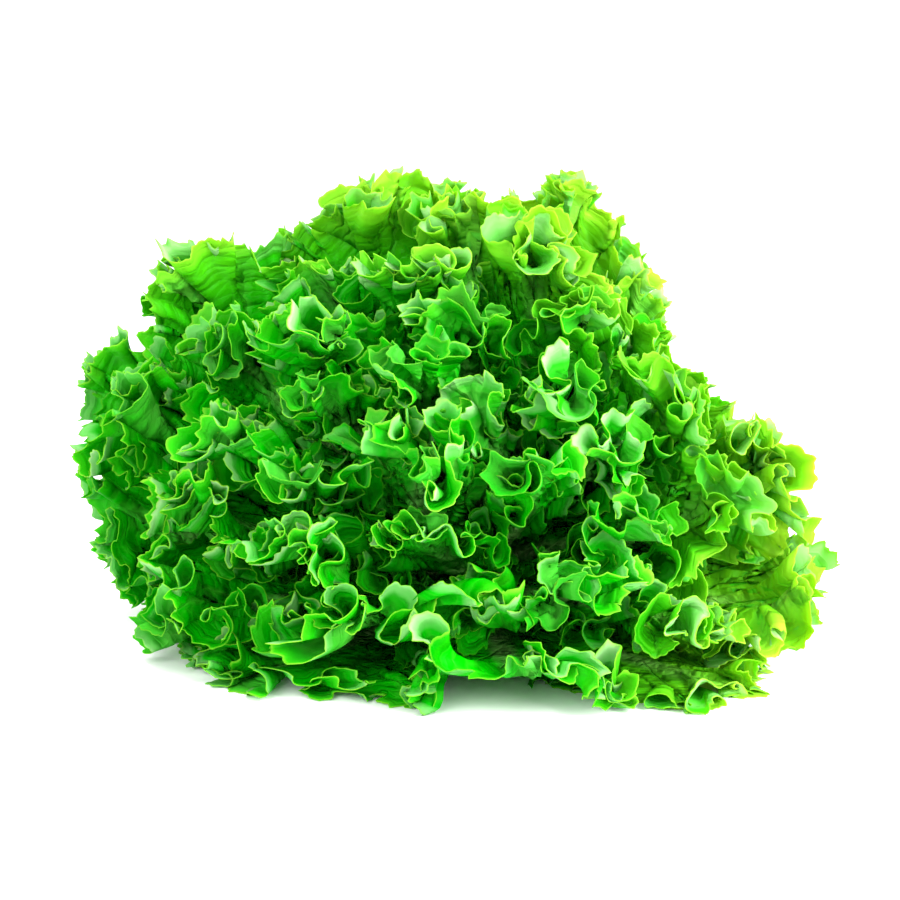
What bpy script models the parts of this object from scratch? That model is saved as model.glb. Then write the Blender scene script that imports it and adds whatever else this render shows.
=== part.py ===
# A head of green leaf lettuce, as picked, lying on its side with the heart turned to the front.
# A short cut stem carries the leaves in a spiral, small upright ones in the heart and wide ones outside.
# Each leaf is one solid: a rib that thins towards the tip, a thin blade, and a margin in deep looping frills.
# Metres, +Z up. The origin is on the surface that the head lies on, under the middle of the head's box.

import math

import bpy
import numpy as np
from mathutils import Matrix

MM = 0.001

# The spiral of leaves. Angles are in degrees from the stem's axis to a leaf's tip.
LEAF_COUNT = 44
HEART_COUNT = 4
INNER_COUNT = 14
FIRST_ANGLE = 5.0
LAST_ANGLE = 80.0
GOLDEN_TURN = math.radians(137.507764)
FIRST_TURN = math.radians(200.0)
HEART_SPACING = 1.5
HEART_GAP = 3.25

# A leaf keeps to a box of its own: so many radians of turn to each side, and so many steps of the spiral
# in and out. Leaves whose turns overlap are always further apart in the golden spiral, so none can meet.
HALF_ANGLE = 0.445
ROOM = 2.5
HEART_HALF_ANGLE = 0.73
HEART_ROOM = 2.25
CLEARANCE = 1.2 * MM
SMALL_TURN = 0.05

# The stem, cut off below the lowest leaves. Its cut end lies on the surface.
STEM_YAW = math.radians(10.0)
STEM_PITCH = math.radians(28.0)
STEM_X = 19.45 * MM
STEM_Y = 47.4 * MM
STEM_RADIUS = 14 * MM
STEM_TIP_RADIUS = 6.5 * MM
STEM_LENGTH = 49 * MM
STEM_DOME = 5 * MM
STEM_BUTT = 22 * MM
STEM_TAPER = 1 * MM
STEM_CHAMFER = 2 * MM
STEM_SIDES = 16
LOWEST_LEAF = 3 * MM
HIGHEST_LEAF = 48.5 * MM
STEM_GAP = 1.0 * MM

# How far the leaves reach from the stem's base: to the front, and round the rim as pairs of bearing, in
# degrees anticlockwise from the right, and millimetres.
REACH_FRONT = 142 * MM
RIM_REACH = (
    (-90.0, 150.0), (-50.0, 150.0), (-20.0, 138.0), (0.0, 134.0), (18.0, 120.0),
    (45.0, 124.0), (62.0, 144.0), (85.0, 160.0), (100.0, 162.0), (120.0, 152.0),
    (138.0, 176.0), (160.0, 175.0), (180.0, 160.0), (198.0, 148.0), (235.0, 150.0),
)

# How the head settles when it lies down, as shares of LAST_ANGLE: the middle is lifted, the height is
# pressed together, more so below, and the lower corners are filled out.
LIE_LIFT = 0.13
LIE_HEIGHT = 0.68
LIE_ROUND = 0.05
LIE_CORNERS = 0.30
LIE_SPREAD = 1.12
LIE_NARROW = 0.12

# The leaves push each other out of line in folds that they share, which start half-way out. Each fold has
# the heading that it pushes in, its wavelength across that heading and its depth, all in degrees.
FOLDS = ((90.0, 15.0, 2.6), (0.0, 16.0, 2.6), (45.0, 20.0, 2.4), (135.0, 25.0, 2.6))
FOLDS_FROM = 0.5

# The curve of a leaf from the stem to its tip
LEAVING_ANGLE = 16.0
LEAVING_SHARE = 0.50
LEAVING_LEAN = 0.6
ARRIVING_SHARE = 0.25
ARRIVING_RIM_SHARE = 0.55
ROOT_HANDLE = 0.30
TIP_HANDLE = 0.34

# One leaf
BLADE = 0.8 * MM
RIB = 3.0 * MM
RIB_HALF_WIDTH = 5.0 * MM
RIB_END = 0.85
STOUT_HALF_WIDTH = 30 * MM
PETIOLE_HALF_WIDTH = 6.0 * MM
WIDEST_AT = 0.66
WIDTH_SHARE = 0.86
SHORTEST = 0.90
LONGEST = 1.06

# The frills: their wavelength on a wide leaf, how far in from the margin they start, and how far a loop
# leans over its neighbours and reaches out, as shares of the wavelength.
WAVE_LENGTH = 29 * MM
FULL_WAVE_HALF_WIDTH = 45 * MM
FRILL_DEPTH = 42 * MM
OVERHANG = 0.10
LOBE = 0.27
SAMPLES_PER_WAVE = 4
SEED = 11

# Leaves close to the surface that the head lies on bend along it, and the lowest are pressed flat on it.
FLOOR_SOFTNESS = 5 * MM
FLOOR_PRESS = 0.6 * MM

STEM_COLOUR = (0.80, 0.86, 0.62, 1.0)
HEART_COLOUR = (0.30, 0.62, 0.08, 1.0)
INNER_COLOUR = (0.10, 0.45, 0.03, 1.0)
OUTER_COLOUR = (0.07, 0.38, 0.02, 1.0)


# Runs from 0 at low to 1 at high, level at both ends.
def smooth_step(low, high, value):
    share = np.clip((value - low) / (high - low), 0.0, 1.0)
    return share * share * (3.0 - 2.0 * share)


# The value itself while it is small, held smoothly within plus or minus the limit.
def soft_limit(value, limit):
    share = value / limit
    return limit * share / (1.0 + share ** 4) ** 0.25


# A smooth random curve along the margin, mostly between -1 and 1: a sum of four seeded sine waves.
def wander(seed, sigma, turns):
    draw = np.random.default_rng(seed)
    total = np.zeros_like(sigma)
    for _ in range(4):
        rate = math.pi * turns * draw.uniform(0.6, 1.5)
        height = draw.uniform(0.25, 0.5)
        total = total + height * np.sin(rate * sigma + draw.uniform(0.0, 2.0 * math.pi))
    return total


def unit(vectors):
    return vectors / np.linalg.norm(vectors, axis=-1, keepdims=True)


# The stem's own directions: to its right, up, and forward along it to the heart.
def head_axes():
    forward = np.array([
        -math.sin(STEM_YAW) * math.cos(STEM_PITCH),
        -math.cos(STEM_YAW) * math.cos(STEM_PITCH),
        math.sin(STEM_PITCH),
    ])
    right = np.array([math.cos(STEM_YAW), -math.sin(STEM_YAW), 0.0])
    return right, np.cross(forward, right), forward


# Where the leaves begin on the stem's axis, at the height that puts the rim of the cut end on the surface.
def stem_base():
    below = (STEM_BUTT - STEM_CHAMFER) * math.sin(STEM_PITCH)
    beside = (STEM_RADIUS - STEM_TAPER) * math.cos(STEM_PITCH)
    return np.array([STEM_X, STEM_Y, below + beside])


# Each fold is a shear, which moves neighbours alike and so can't push one leaf through another.
def fold_together(across, upward, strength):
    for number, (heading, wavelength, depth) in enumerate(FOLDS):
        cosine = math.cos(math.radians(heading))
        sine = math.sin(math.radians(heading))
        beside = across * sine - upward * cosine
        push = strength * depth * np.sin(2.0 * math.pi * beside / wavelength + 1.7 * number)
        across = across + push * cosine
        upward = upward + push * sine
    return across, upward


# The direction, as an angle from the stem's axis and a bearing round it, in which a leaf of this angle and
# turn points once the head lies down. The folds grow along the leaf.
def lying_direction(angle, turn, along):
    across = angle * np.cos(turn) / LAST_ANGLE
    upward = angle * np.sin(turn) / LAST_ANGLE
    height = (LIE_HEIGHT * upward + LIE_ROUND * upward ** 2) * (1.0 + LIE_CORNERS * across ** 2)
    spread = LAST_ANGLE * across * (LIE_SPREAD - LIE_NARROW * upward)
    raised = LAST_ANGLE * (LIE_LIFT + height)
    spread, raised = fold_together(spread, raised, smooth_step(FOLDS_FROM, 1.0, along))
    return np.radians(np.hypot(spread, raised)), np.arctan2(raised, spread)


def reach(polar, bearing):
    bearings, reaches = np.array(RIM_REACH).T
    rim = MM * np.interp(np.degrees(bearing), bearings, reaches, period=360.0)
    outward = np.sin(np.minimum(polar, math.pi / 2)) ** 2
    return REACH_FRONT + (rim - REACH_FRONT) * outward


# A point in the head. Angle and turn choose a curve, a cubic Bezier from the stem outwards, and along runs
# on it from 0 on the stem to 1 at the leaf tips.
def head_point(angle, turn, along):
    right, up, forward = head_axes()
    outward = np.cos(turn)[..., None] * right + np.sin(turn)[..., None] * up
    height = HIGHEST_LEAF + (LOWEST_LEAF - HIGHEST_LEAF) * angle / LAST_ANGLE
    radius = STEM_RADIUS + (STEM_TIP_RADIUS - STEM_RADIUS) * height / STEM_LENGTH
    start = (radius + 0.5 * RIB + STEM_GAP)[..., None] * outward + height[..., None] * forward

    polar, bearing = lying_direction(angle, turn, along)
    sideways = np.cos(bearing)[..., None] * right + np.sin(bearing)[..., None] * up
    length = reach(polar, bearing)[..., None]
    end = length * (np.cos(polar)[..., None] * forward + np.sin(polar)[..., None] * sideways)

    leaving = np.radians(LEAVING_ANGLE + LEAVING_SHARE * angle)[..., None]
    leaning = unit(outward + LEAVING_LEAN * sideways)
    first = start + ROOT_HANDLE * length * (np.cos(leaving) * forward + np.sin(leaving) * leaning)
    rim = np.degrees(polar) / LAST_ANGLE
    arriving = (polar * (ARRIVING_SHARE + ARRIVING_RIM_SHARE * rim ** 2))[..., None]
    second = end - TIP_HANDLE * length * (np.cos(arriving) * forward + np.sin(arriving) * sideways)

    gone = along[..., None]
    left = 1.0 - gone
    near_stem = left ** 3 * start + 3.0 * left ** 2 * gone * first
    near_tip = 3.0 * left * gone ** 2 * second + gone ** 3 * end
    return stem_base() + near_stem + near_tip


# Half of the flat leaf's margin, from the tip to the root: the share of its length, x and y, and the length.
# A half circle is drawn out to the leaf's length and width. Powers broaden the tip and narrow the petiole.
def leaf_outline(length, half_width):
    bend = np.linspace(0.0, math.pi, 361)
    upper = bend < math.pi / 2
    rise = np.cos(bend)
    swell = np.clip(np.sin(bend), 0.0, 1.0) ** np.where(upper, 0.62, 1.3)
    petiole = PETIOLE_HALF_WIDTH * math.sqrt(min(half_width / STOUT_HALF_WIDTH, 1.0))
    x = half_width * swell + petiole * (bend / math.pi) ** 3
    tip = WIDEST_AT + (1.0 - WIDEST_AT) * np.clip(rise, 0.0, 1.0) ** 0.55
    y = length * np.where(upper, tip, WIDEST_AT * (1.0 + rise))
    run = np.concatenate([[0.0], np.cumsum(np.hypot(np.diff(x), np.diff(y)))])
    return run / run[-1], x, y, run[-1]


# The spiral, as one dictionary for each leaf from the heart outwards.
def plan_leaves():
    leaves = []
    step = (LAST_ANGLE - FIRST_ANGLE) / (LEAF_COUNT - 1 + HEART_GAP)
    for index in range(LEAF_COUNT):
        heart = index < HEART_COUNT
        angle = FIRST_ANGLE + step * (HEART_SPACING * index if heart else index + HEART_GAP)
        turn = FIRST_TURN + GOLDEN_TURN * index
        half_angle = HEART_HALF_ANGLE if heart else HALF_ANGLE
        beside = head_point(np.full(2, angle), turn + np.array([-0.5, 0.5]), np.full(2, 0.62))
        half_width = WIDTH_SHARE * half_angle * float(np.linalg.norm(beside[1] - beside[0]))
        root, tip = head_point(np.full(2, angle), np.full(2, turn), np.array([0.0, 1.0]))
        grown = np.random.default_rng(SEED + index).uniform(SHORTEST, LONGEST)
        length = grown * float(np.linalg.norm(tip - root))
        outline = leaf_outline(length, half_width)
        wave = WAVE_LENGTH * min(max(half_width / FULL_WAVE_HALF_WIDTH, 0.6), 1.0)
        leaves.append({
            "angle": angle,
            "turn": turn,
            "room": step * (HEART_ROOM if heart else ROOM),
            "half_angle": half_angle,
            "half_width": half_width,
            "length": length,
            "grown": grown,
            "outline": outline,
            "wave": wave,
            "waves": round(2.0 * outline[3] / wave),
            "seed": SEED * 1000 + index * 10,
        })
    return leaves


# The leaf pressed flat, with x across and y from root to tip. Sigma runs round the margin from -1 to 1, with
# 0 at the tip. Share runs from 0 on the midrib to 1 on the margin. Flare says how far the frills are grown.
def flat_leaf(leaf, sigma, share):
    around = np.minimum(np.abs(sigma), 1.0)
    run, edge_x, edge_y, _ = leaf["outline"]
    x = np.interp(around, run, edge_x)
    y = np.interp(around, run, edge_y)
    foot = 0.80 * leaf["length"] * (1.0 - around) ** 1.6
    span = np.maximum(np.hypot(x, y - foot), 0.001 * MM)
    flare = np.clip(1.0 - (1.0 - share) * span / np.minimum(span, FRILL_DEPTH), 0.0, 1.0)
    return np.sign(sigma) * x * share, foot + (y - foot) * share, flare


# None at the root, and all of it from the middle of the leaf up.
def frill_height(leaf, y):
    return np.clip((y / leaf["length"] - 0.08) / 0.50, 0.0, 1.0) ** 0.8


# The flat leaf with its frills, not yet bent. The margin swings from side to side, which is returned as a
# share of the leaf's room, and to and fro along itself, so that its loops overhang. Lobes stand out between.
def frilled_leaf(leaf, sigma, share):
    x, y, flare = flat_leaf(leaf, sigma, share)
    after_x, after_y, _ = flat_leaf(leaf, sigma + 0.001, share)
    before_x, before_y, _ = flat_leaf(leaf, sigma - 0.001, share)
    pace = np.maximum(np.hypot(after_x - before_x, after_y - before_y), 1e-12)
    along_x = (after_x - before_x) / pace
    along_y = (after_y - before_y) / pace

    seed = leaf["seed"]
    phase = math.pi * leaf["waves"] * sigma + 1.3 * wander(seed, sigma, 4.0) + seed
    height = frill_height(leaf, y)
    growth = 0.60 * flare ** 1.2 + 0.40 * flare ** 4
    uneven = np.clip(0.92 + 0.20 * wander(seed + 1, sigma, 6.0), 0.4, 1.1)
    swing = height * growth * uneven * np.sin(phase)
    overhang = -OVERHANG * leaf["wave"] * flare ** 1.5 * height * np.sin(2.0 * phase)
    bulge = 0.35 - 0.6 * np.abs(np.sin(phase)) + 0.6 * wander(seed + 2, sigma, 7.0)
    lobe = LOBE * leaf["wave"] * flare ** 2 * height * bulge
    return x + along_x * overhang - along_y * lobe, y + along_y * overhang + along_x * lobe, swing


# Wraps a leaf round the head inside its own box. Near the stem, where a turn or a degree of the head takes up
# hardly any room, both are taken as if they took a few millimetres.
def bend_leaf(leaf, x, y, swing):
    along = y / leaf["length"] * leaf["grown"]
    inside = np.clip(along, 0.0, 1.0)
    angle = np.full_like(along, leaf["angle"])
    turn = np.full_like(along, leaf["turn"])
    across = head_point(angle, turn + SMALL_TURN, inside) - head_point(angle, turn - SMALL_TURN, inside)
    per_radian = np.maximum(np.linalg.norm(across, axis=-1) / (2.0 * SMALL_TURN), 6 * MM)
    through = head_point(angle + 0.5, turn, inside) - head_point(angle - 0.5, turn, inside)
    per_degree = np.maximum(np.linalg.norm(through, axis=-1), 0.4 * MM)
    room = np.maximum(leaf["room"] - CLEARANCE / per_degree, 0.15 * leaf["room"])
    turned = turn + soft_limit(x / per_radian, leaf["half_angle"])
    return head_point(angle - room * soft_limit(1.35 * swing, 1.0), turned, along)


# The rib's share of its full thickness: 1 on the midrib at the root of a wide leaf, 0 on the blade.
def rib_weight(leaf, sigma, share):
    x, y, _ = flat_leaf(leaf, sigma, share)
    stout = min(leaf["half_width"] / STOUT_HALF_WIDTH, 1.0)
    beside = np.clip(1.0 - (x / RIB_HALF_WIDTH) ** 2, 0.0, 1.0)
    return stout * beside * np.clip(1.0 - y / (RIB_END * leaf["length"]), 0.0, 1.0)


# The middle of the leaf's thickness, with the surface that the head lies on taken into account.
def leaf_surface(leaf, sigma, share):
    points = bend_leaf(leaf, *frilled_leaf(leaf, sigma, share))
    half_thickness = 0.5 * (BLADE + (RIB - BLADE) * rib_weight(leaf, sigma, share))
    yielding = FLOOR_SOFTNESS * np.logaddexp(0.0, points[..., 2] / FLOOR_SOFTNESS) - FLOOR_PRESS
    points[..., 2] = np.maximum(yielding, half_thickness)
    return points


# Sigma at the points of a row with this many steps, closer together where the frills are high.
def row_of_sigma(leaf, steps):
    sigma = np.linspace(-1.0, 1.0, 401)
    _, y, _ = flat_leaf(leaf, sigma, np.ones_like(sigma))
    weight = 0.35 + 0.65 * frill_height(leaf, y)
    run = np.concatenate([[0.0], np.cumsum(0.5 * (weight[1:] + weight[:-1]))])
    return np.interp(np.linspace(0.0, run[-1], steps + 1), run, sigma)


# The triangles between two rows of points that run side by side but differ in number.
def stitch(outer_sigma, outer_ids, inner_sigma, inner_ids):
    faces = []
    i = 0
    j = 0
    while i < len(inner_ids) - 1 or j < len(outer_ids) - 1:
        next_inner = inner_sigma[i + 1] if i < len(inner_ids) - 1 else math.inf
        next_outer = outer_sigma[j + 1] if j < len(outer_ids) - 1 else math.inf
        if next_inner <= next_outer:
            faces.append((inner_ids[i], inner_ids[i + 1], outer_ids[j]))
            i += 1
        else:
            faces.append((inner_ids[i], outer_ids[j + 1], outer_ids[j]))
            j += 1
    return faces


# The leaf's middle surface, as rows from the margin to the midrib. Both halves share the midrib's points.
def leaf_mesh(name, leaf):
    waves = 2 * (leaf["waves"] // 2)
    rows = ((1.0, SAMPLES_PER_WAVE * waves), (0.78, 2 * waves), (0.42, 8), (0.0, 8))
    points = []
    weights = []
    faces = []
    outer_sigma = outer_ids = None
    for share, steps in rows:
        sigma = row_of_sigma(leaf, steps)
        ids = [len(points) + i for i in range(steps + 1)]
        if share == 0.0:
            ids = [len(points) + min(i, steps - i) for i in range(steps + 1)]
        kept = len(set(ids))
        shares = np.full(kept, share)
        points += leaf_surface(leaf, sigma[:kept], shares).tolist()
        weights += rib_weight(leaf, sigma[:kept], shares).tolist()
        if outer_ids:
            faces += stitch(outer_sigma, outer_ids, sigma, ids)
        outer_sigma = sigma
        outer_ids = ids
    mesh = bpy.data.meshes.new(name)
    mesh.from_pydata(points, [], faces)
    mesh.shade_smooth()
    return mesh, weights


def make_leaf(name, leaf, material, collection):
    mesh, weights = leaf_mesh(name, leaf)
    mesh.materials.append(material)
    blade = bpy.data.objects.new(name, mesh)
    collection.objects.link(blade)
    rib = blade.vertex_groups.new(name="rib")
    for vertex, weight in enumerate(weights):
        rib.add([vertex], weight, "REPLACE")
    shell = blade.modifiers.new("Thickness", "SOLIDIFY")
    shell.thickness = RIB
    shell.offset = 0.0
    shell.vertex_group = rib.name
    shell.thickness_vertex_group = BLADE / RIB


# The stem is turned round its axis: a domed top, a cone where the leaves sit, and a straight butt cut flat.
def make_stem(material, collection):
    dome = [
        (STEM_TIP_RADIUS * math.cos(bend), 0.0, STEM_LENGTH + STEM_DOME * math.sin(bend))
        for bend in np.linspace(math.pi / 2, 0.0, 5)
    ]
    butt = [
        (STEM_RADIUS, 0.0, 0.0),
        (STEM_RADIUS - STEM_TAPER, 0.0, STEM_CHAMFER - STEM_BUTT),
        (STEM_RADIUS - STEM_TAPER - STEM_CHAMFER, 0.0, -STEM_BUTT),
        (0.0, 0.0, -STEM_BUTT),
    ]
    profile = dome + butt
    mesh = bpy.data.meshes.new("stem")
    mesh.from_pydata(profile, [(i, i + 1) for i in range(len(profile) - 1)], [])
    mesh.materials.append(material)
    stem = bpy.data.objects.new("stem", mesh)
    collection.objects.link(stem)
    turned = stem.modifiers.new("Turned", "SCREW")
    turned.steps = STEM_SIDES
    turned.render_steps = STEM_SIDES
    turned.use_merge_vertices = True
    turned.merge_threshold = 0.01 * MM
    stem.location = stem_base()
    stem.rotation_euler = Matrix(head_axes()).transposed().to_euler()


def make_material(name, colour, roughness):
    material = bpy.data.materials.new(name)
    material.use_nodes = True
    shader = material.node_tree.nodes["Principled BSDF"]
    shader.inputs["Base Color"].default_value = colour
    shader.inputs["Roughness"].default_value = roughness
    shader.inputs["Metallic"].default_value = 0.0
    return material


def main():
    for item in list(bpy.data.objects):
        bpy.data.objects.remove(item)
    head = bpy.data.collections.new("leaf lettuce")
    bpy.context.scene.collection.children.link(head)
    make_stem(make_material("stem", STEM_COLOUR, 0.5), head)
    heart = make_material("heart_leaf", HEART_COLOUR, 0.45)
    inner = make_material("inner_leaf", INNER_COLOUR, 0.45)
    outer = make_material("outer_leaf", OUTER_COLOUR, 0.45)
    for index, leaf in enumerate(plan_leaves()):
        if index < HEART_COUNT:
            make_leaf(f"heart_leaf_{index + 1:02d}", leaf, heart, head)
        elif index < HEART_COUNT + INNER_COUNT:
            make_leaf(f"inner_leaf_{index + 1:02d}", leaf, inner, head)
        else:
            make_leaf(f"outer_leaf_{index + 1:02d}", leaf, outer, head)


if __name__ == "__main__":
    main()
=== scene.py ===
import math
import bpy
import numpy as np
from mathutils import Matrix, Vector


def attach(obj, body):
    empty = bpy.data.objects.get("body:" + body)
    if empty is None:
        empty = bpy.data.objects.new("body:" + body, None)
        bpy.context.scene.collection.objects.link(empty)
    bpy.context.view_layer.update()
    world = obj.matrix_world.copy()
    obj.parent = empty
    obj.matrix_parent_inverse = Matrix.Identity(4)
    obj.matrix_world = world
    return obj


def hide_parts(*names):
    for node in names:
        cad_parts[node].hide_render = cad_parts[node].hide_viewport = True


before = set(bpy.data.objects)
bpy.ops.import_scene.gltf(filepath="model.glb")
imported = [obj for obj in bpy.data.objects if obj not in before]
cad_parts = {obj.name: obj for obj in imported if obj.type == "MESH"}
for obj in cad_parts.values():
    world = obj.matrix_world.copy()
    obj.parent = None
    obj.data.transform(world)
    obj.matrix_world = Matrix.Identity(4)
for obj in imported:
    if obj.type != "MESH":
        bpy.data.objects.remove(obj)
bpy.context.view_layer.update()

# A head of frilly green leaf lettuce on its side. Every leaf of the frame is replaced by a finer one from
# the same spiral, with pleats, second ruffles, crimps and teeth, veins, a thick rib and a thin blade.

mm = 0.001
uvUnit = 100 * mm  # what one unit of a UV map measures

# the stem as in the solids: a dome on a cone, with a short butt below that ends in a rounded rim and the cut
stemShape = {
    "yaw": math.radians(10.0), "pitch": math.radians(28.0), "x": 19.45 * mm, "y": 47.4 * mm,
    "radius": 14 * mm, "tipRadius": 6.5 * mm, "length": 49 * mm, "dome": 5 * mm,
    "butt": 22 * mm, "taper": 1 * mm, "chamfer": 2 * mm, "columns": 96,
    "scar": 0.5 * mm, "scarsRound": 5.0, "scarLean": 3.1 * mm, "scarPitch": 2.3 * mm,
    "flute": 0.15 * mm, "flutes": 23.0, "smoothRim": 2 * mm, "smoothPole": 3 * mm, "cutRim": 0.5 * mm,
}

# the spiral of leaves and the form of the lying head, as in the solids; angles are degrees off the stem
headShape = {
    "leafCount": 44, "heartCount": 4, "innerCount": 14,
    "firstAngle": 5.0, "lastAngle": 80.0,
    "goldenTurn": math.radians(137.507764), "firstTurn": math.radians(200.0),
    "heartSpacing": 1.5, "heartGap": 3.25,  # steps of the spiral between heart leaves, and after them
    "halfAngle": 0.445, "heartHalfAngle": 0.73,  # half a leaf's width, in radians round the head
    "room": 2.5, "heartRoom": 2.25,  # how far frills swing to either side, in steps of the spiral
    "clearance": 1.2 * mm,
    "lowestLeaf": 3 * mm, "highestLeaf": 48.5 * mm, "footSink": 0.5 * mm,  # where the leaves leave the stem
    "reachFront": 142 * mm,
    "rimReach": (  # bearing in degrees, millimetres
        (-90.0, 150.0), (-50.0, 150.0), (-20.0, 138.0), (0.0, 134.0), (18.0, 120.0),
        (45.0, 124.0), (62.0, 144.0), (85.0, 160.0), (100.0, 162.0), (120.0, 152.0),
        (138.0, 176.0), (160.0, 175.0), (180.0, 160.0), (198.0, 148.0), (235.0, 150.0),
    ),
    "lieLift": 0.13, "lieHeight": 0.68, "lieRound": 0.05, "lieCorners": 0.30,
    "lieSpread": 1.12, "lieNarrow": 0.12,
    "folds": (  # heading, wavelength and depth in degrees
        (90.0, 15.0, 2.6), (0.0, 16.0, 2.6), (45.0, 20.0, 2.4), (135.0, 25.0, 2.6),
    ),
    "foldsFrom": 0.5,
    "leavingAngle": 16.0, "leavingShare": 0.50, "leavingLean": 0.6, "rootHandle": 0.30,
    "arrivingShare": 0.25, "arrivingRimShare": 0.55, "tipHandle": 0.34,
    "floorSoftness": 5 * mm, "floorPress": 0.6 * mm,
}

# one leaf, with its first frills as in the solids and the finer ones that only show here
leafShape = {
    "blade": 0.5 * mm, "margin": 0.3 * mm, "thinning": 4 * mm,
    "rib": 3.2 * mm, "ribHalfWidth": 5.0 * mm, "ribEnd": 0.85,
    "stoutHalfWidth": 30 * mm, "petioleHalfWidth": 6.0 * mm,
    "widestAt": 0.66, "widthAt": 0.62, "widthShare": 0.86, "shortest": 0.90, "longest": 1.06,
    "footShare": 0.80,  # how far up the midrib the lines to the margin start
    "frillsFrom": 0.08, "frillsOver": 0.50,  # where frills begin and how long they grow, in leaf lengths
    "waveLength": 29 * mm, "fullWaveHalfWidth": 45 * mm, "frillDepth": 42 * mm,
    "overhang": 0.20, "lobe": 0.27, "seed": 11,
    "swing": 1.35, "fuller": 1.15,  # fuller: how much further out a frill swings than in the solids
    "leastPerRadian": 6 * mm, "leastPerDegree": 0.4 * mm, "leastRoom": 0.15,
    "pleat": 3.8 * mm, "pleatsPerWave": 1.9, "pleatDepth": 62 * mm,
    "crimp": 1.7 * mm, "crimpSpacing": 10.5 * mm, "crimpDepth": 28 * mm,
    "ruffle": 5.0 * mm, "ruffleSpacing": 23 * mm, "ruffleDepth": 55 * mm, "hook": 2.4 * mm, "sway": 3.0 * mm,
    "tooth": 3.0 * mm, "toothSpacing": 8.5 * mm, "toothDepth": 4.0 * mm,
    "nick": 1.3 * mm, "nickSpacing": 4.3 * mm, "nickDepth": 1.6 * mm,  # small teeth between the others
    "curl": 2.4 * mm,
    "columnsPerWave": 72, "measuresPerWave": 60,
    "underside": 0.8,  # the share of the blade's thickness on its underside, where the rib stands out
}

# rows from the midrib to the margin, as (share, how many columns apart its points are)
leafRows = (
    [(share, 8) for share in (0.0, 0.18, 0.35, 0.50, 0.62)]
    + [(share, 4) for share in (0.71, 0.785, 0.845)]
    + [(share, 2) for share in (0.893, 0.931, 0.959)]
    + [(share, 1) for share in (0.981, 1.0)]
)


def smoothStep(low, high, value):  # 0 at low, 1 at high, level at both ends
    share = np.clip((value - low) / (high - low), 0.0, 1.0)
    return share * share * (3.0 - 2.0 * share)


def softLimit(value, limit):  # the value while small, held smoothly within plus or minus the limit
    share = value / limit
    return limit * share / (1.0 + share ** 4) ** 0.25


def wander(seed, sigma, turns):  # the sum of four seeded sine waves along the margin, about -1 to 1
    draw = np.random.default_rng(seed)
    total = np.zeros_like(sigma)
    for _ in range(4):
        rate = math.pi * turns * draw.uniform(0.6, 1.5)
        height = draw.uniform(0.25, 0.5)
        total = total + height * np.sin(rate * sigma + draw.uniform(0.0, 2.0 * math.pi))
    return total


def unit(vectors):  # each vector over its own length
    return vectors / np.maximum(np.linalg.norm(vectors, axis=-1, keepdims=True), 1e-12)


def lengthAlong(points):  # the running length of a line of points
    return np.concatenate([[0.0], np.cumsum(np.linalg.norm(np.diff(points, axis=0), axis=1))])


def markPoints(mesh, name, values):  # one value a point, which the material reads by its name
    mesh.attributes.new(name, "FLOAT", "POINT").data.foreach_set("value", values.astype(np.float32))


def unrollPoints(mesh, name, flat):  # a UV map that gives each corner its point's flat place
    corners = np.empty(len(mesh.loops), dtype=np.int32)
    mesh.loops.foreach_get("vertex_index", corners)
    mesh.uv_layers.new(name=name).data.foreach_set("uv", flat[corners].astype(np.float32).ravel())


def addObject(name, data):  # shows a mesh, lamp or camera in the scene
    item = bpy.data.objects.new(name, data)
    bpy.context.scene.collection.objects.link(item)
    return item


def headAxes():  # the stem's right, up and forward
    yaw, pitch = stemShape["yaw"], stemShape["pitch"]
    level = math.cos(pitch)
    forward = np.array([-math.sin(yaw) * level, -math.cos(yaw) * level, math.sin(pitch)])
    right = np.array([math.cos(yaw), -math.sin(yaw), 0.0])
    return right, np.cross(forward, right), forward


def stemBase():  # where the leaves begin, with the rim of the cut end on the floor
    s = stemShape
    below = (s["butt"] - s["chamfer"]) * math.sin(s["pitch"])
    beside = (s["radius"] - s["taper"]) * math.cos(s["pitch"])
    return np.array([s["x"], s["y"], below + beside])


def foldTogether(across, upward, strength):  # shears shared by all leaves: a sine push along each heading
    for number, (heading, wavelength, depth) in enumerate(headShape["folds"]):
        cosine, sine = math.cos(math.radians(heading)), math.sin(math.radians(heading))
        beside = across * sine - upward * cosine
        push = strength * depth * np.sin(2.0 * math.pi * beside / wavelength + 1.7 * number)
        across = across + push * cosine
        upward = upward + push * sine
    return across, upward


def lyingDirection(angle, turn, along):  # where a leaf points in the lying head: lifted, pressed and folded
    s = headShape
    across = angle * np.cos(turn) / s["lastAngle"]
    upward = angle * np.sin(turn) / s["lastAngle"]
    height = (s["lieHeight"] * upward + s["lieRound"] * upward ** 2) * (1.0 + s["lieCorners"] * across ** 2)
    spread = s["lastAngle"] * across * (s["lieSpread"] - s["lieNarrow"] * upward)
    raised = s["lastAngle"] * (s["lieLift"] + height)
    spread, raised = foldTogether(spread, raised, smoothStep(s["foldsFrom"], 1.0, along))
    return np.radians(np.hypot(spread, raised)), np.arctan2(raised, spread)


def reachTo(polar, bearing):  # front reach blended to the rim's reach by the square of the sine
    bearings, reaches = np.array(headShape["rimReach"]).T
    front = headShape["reachFront"]
    rim = mm * np.interp(np.degrees(bearing), bearings, reaches, period=360.0)
    return front + (rim - front) * np.sin(np.minimum(polar, math.pi / 2)) ** 2


def leavingStem(angle, turn):  # where a leaf leaves the stem, and which way is out from the stem there
    s = headShape
    right, up, forward = headAxes()
    outward = np.cos(turn)[..., None] * right + np.sin(turn)[..., None] * up
    height = s["highestLeaf"] + (s["lowestLeaf"] - s["highestLeaf"]) * angle / s["lastAngle"]
    narrowing = (stemShape["tipRadius"] - stemShape["radius"]) * height / stemShape["length"]
    radius = stemShape["radius"] + narrowing
    return (radius - s["footSink"])[..., None] * outward + height[..., None] * forward, outward


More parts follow.
